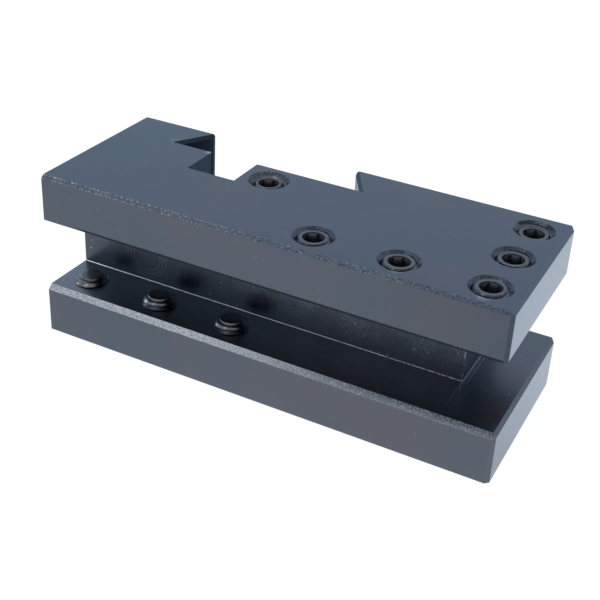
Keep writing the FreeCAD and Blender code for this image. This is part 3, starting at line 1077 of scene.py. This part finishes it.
@dataclass(frozen=True)
class Studio:
    """The white floor, the surroundings, the lamps and the camera at the photograph's angle.

    Angles are in degrees. Ahead and behind are what mirrored rays meet towards the camera and away from it.
    """

    camera_place: tuple[float, float, float] = (0.1455, -0.2949, 0.2223)
    camera_turn: float = 26.3
    camera_tilt: float = 28.16
    camera_roll: float = 2.98
    lens: float = 67.21
    sensor: float = 36.0
    shift_y: float = -0.1
    clip_start: float = 0.01
    floor_radius: float = 1.6
    floor_corners: int = 96
    floor_drop: float = 0.05 * MM
    floor_paper: Colour = (0.92, 0.92, 0.92)
    floor_glow_share: float = 0.75
    floor_white: Colour = (1.25, 1.25, 1.25)
    floor_ahead: Colour = (1.17, 1.15, 1.15)
    floor_behind: Colour = (1.64, 1.62, 1.59)
    floor_brightens: tuple[float, float] = (-0.060, 0.050)
    ambient: Colour = (0.40, 0.40, 0.40)
    white: Colour = (1.0, 1.0, 1.0)
    mirrored_ahead: Colour = (1.0, 1.0, 1.0)
    mirrored_behind: Colour = (0.68, 0.74, 0.815)
    mirrored_fades: tuple[float, float] = (-0.25, 0.35)
    lamps: tuple[SoftBox, ...] = (
        SoftBox("high_front_softbox", (-0.32, -0.43, 0.84), 1.0, 0.26, 0.09),
        SoftBox("left_softbox", (-0.93, -0.05, 0.36), 1.0, 0.26, 0.11),
    )

    def build(self) -> None:
        """Set up the surroundings, the floor, the lamps and the camera."""
        bpy.context.scene.view_settings.view_transform = "Standard"
        low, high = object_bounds()
        target = (low + high) / 2
        self.make_world()
        self.make_floor()
        for lamp in self.lamps:
            lamp.build(target)
        self.make_camera()

    def make_world(self) -> None:
        """White surroundings for the camera, a duller back for mirrored rays and plain light for others."""
        world = bpy.data.worlds.new("studio")
        bpy.context.scene.world = world
        world.use_nodes = True
        stage = StageSheet(world.node_tree)
        behind = stage.rising("Generated", self.mirrored_fades)
        mirrored = stage.tint(behind, self.mirrored_ahead, self.mirrored_behind)
        colour = stage.tint(stage.path.outputs["Is Glossy Ray"], self.ambient, mirrored)
        colour = stage.tint(stage.path.outputs["Is Camera Ray"], colour, self.white)
        light = stage.node("ShaderNodeBackground")
        stage.feed(light.inputs["Color"], colour)
        stage.feed(stage.node("ShaderNodeOutputWorld").inputs["Surface"], light.outputs[0])

    def make_floor(self) -> None:
        """A round white floor that keeps the object's soft shadow, and is mirrored brighter behind it."""
        mesh = bpy.data.meshes.new("studio_floor")
        angle = np.linspace(0, 2 * math.pi, self.floor_corners, endpoint=False)
        rim = np.stack([np.cos(angle), np.sin(angle), 0 * angle], axis=-1) * self.floor_radius
        mesh.from_pydata(rim, [], [list(range(len(angle)))])
        floor = bpy.data.objects.new("studio_floor", mesh)
        floor.location.z = -self.floor_drop
        bpy.context.scene.collection.objects.link(floor)
        mesh.materials.append(self.floor_material())
        floor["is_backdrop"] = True

    def floor_material(self) -> bpy.types.Material:
        """White paper that also glows for rays from the camera and for mirrored rays."""
        material = bpy.data.materials.new("studio_floor")
        material.use_nodes = True
        stage = StageSheet(material.node_tree)
        behind = stage.rising("Object", self.floor_brightens)
        mirrored = stage.tint(behind, self.floor_ahead, self.floor_behind)
        colour = stage.tint(stage.path.outputs["Is Glossy Ray"], self.floor_white, mirrored)
        paper = stage.node("ShaderNodeBsdfDiffuse")
        stage.feed(paper.inputs["Color"], (*self.floor_paper, 1.0))
        glow = stage.node("ShaderNodeEmission")
        stage.feed(glow.inputs["Color"], colour)
        both = stage.node("ShaderNodeMixShader")
        shares = (stage.seen(self.floor_glow_share), paper.outputs[0], glow.outputs[0])
        for socket, value in zip(both.inputs, shares):
            stage.feed(socket, value)
        stage.feed(stage.node("ShaderNodeOutputMaterial").inputs["Surface"], both.outputs[0])
        return material

    def make_camera(self) -> None:
        """Put the camera where the photograph was taken from.

        It looks along Y, turned about Z and tilted down, and is rolled about the way it looks.
        """
        turn, tilt, roll = (math.radians(a) for a in (self.camera_turn, self.camera_tilt, self.camera_roll))
        ahead = Vector((-math.sin(turn) * math.cos(tilt), math.cos(turn) * math.cos(tilt), -math.sin(tilt)))
        right = Vector((math.cos(turn), math.sin(turn), 0.0))
        up = right.cross(ahead)
        across = math.cos(roll) * right + math.sin(roll) * up
        upwards = math.cos(roll) * up - math.sin(roll) * right
        camera = bpy.data.cameras.new("photo_camera")
        camera.lens = self.lens
        camera.sensor_width = self.sensor
        camera.shift_y = self.shift_y
        camera.clip_start = self.clip_start
        stand = bpy.data.objects.new("photo_camera", camera)
        bpy.context.scene.collection.objects.link(stand)
        stand.matrix_world = Matrix.Translation(self.camera_place) @ Matrix(
            (across, upwards, -ahead)).transposed().to_4x4()
        bpy.context.scene.camera = stand


# The whole holder

@dataclass
class ToolHolder:
    """The complete holder: its screws, and the block with its bores."""

    screw_finish: Finish = ScrewFinish("blackened_screw", (0.118, 0.132, 0.155), roughness=0.40,
                                       rim_and_mouth_shade=0.95)
    point_finish: Finish = ScrewFinish("blackened_screw_point", (0.090, 0.101, 0.120), roughness=0.25)
    stud_finish: Finish = ScrewFinish("blackened_stud", (0.110, 0.125, 0.150), roughness=0.38, rim_and_mouth_shade=0.8)
    thread_finish: Finish = ScrewFinish("blackened_thread", (0.075, 0.085, 0.105), roughness=0.30)
    block_finish: BlockFinish = BlockFinish("blackened_block", (0.082, 0.110, 0.142))
    upper_sockets: tuple[tuple[str, float], ...] = (
        ("front_clamp_screw_left", 30.0),
        ("front_clamp_screw_right", 30.0),
        ("corner_clamp_screw", 0.0),
        ("end_clamp_screw_front", 5.0),
        ("end_clamp_screw_rear", 35.0),
    )
    under_sockets: tuple[tuple[str, float], ...] = (
        ("under_clamp_screw_left", 10.0),
        ("under_clamp_screw_middle", 40.0),
        ("under_clamp_screw_right", 20.0),
    )
    stud_socket: tuple[str, float] = ("height_stud", 30.0)
    stud_chamfer: float = 1.55 * MM
    screws: list[SetScrew] = field(default_factory=list)

    def make_screws(self) -> None:
        """List every screw with its direction, its finish and how far its socket is turned, in degrees."""
        for node, turn in self.upper_sockets:
            self.screws.append(SetScrew(node, SocketFaces.UP, self.screw_finish, socket=HexSocket(turn)))
        for node, turn in self.under_sockets:
            self.screws.append(SetScrew(node, SocketFaces.DOWN, self.point_finish, socket=HexSocket(turn)))
        node, turn = self.stud_socket
        self.screws.append(SetScrew(node, SocketFaces.UP, self.stud_finish, "stud",
                                    end_chamfer=self.stud_chamfer, socket=HexSocket(turn)))

    def build(self) -> None:
        """Build every screw, then the block."""
        self.make_screws()
        for screw in self.screws:
            report(screw.build())
        for piece in HolderBlock(self.screws, self.block_finish, self.thread_finish).build():
            report(piece)


def report(piece: bpy.types.Object) -> None:
    """Say in the log which piece was made and how many faces it has."""
    LOG.info("%s: %d faces", piece.name, len(piece.data.polygons))


def main() -> None:
    """Build the studio and the holder."""
    logging.basicConfig(level=logging.INFO, format="%(name)s: %(message)s")
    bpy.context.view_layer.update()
    Studio().build()
    ToolHolder().build()


if __name__ == "__main__":
    main()
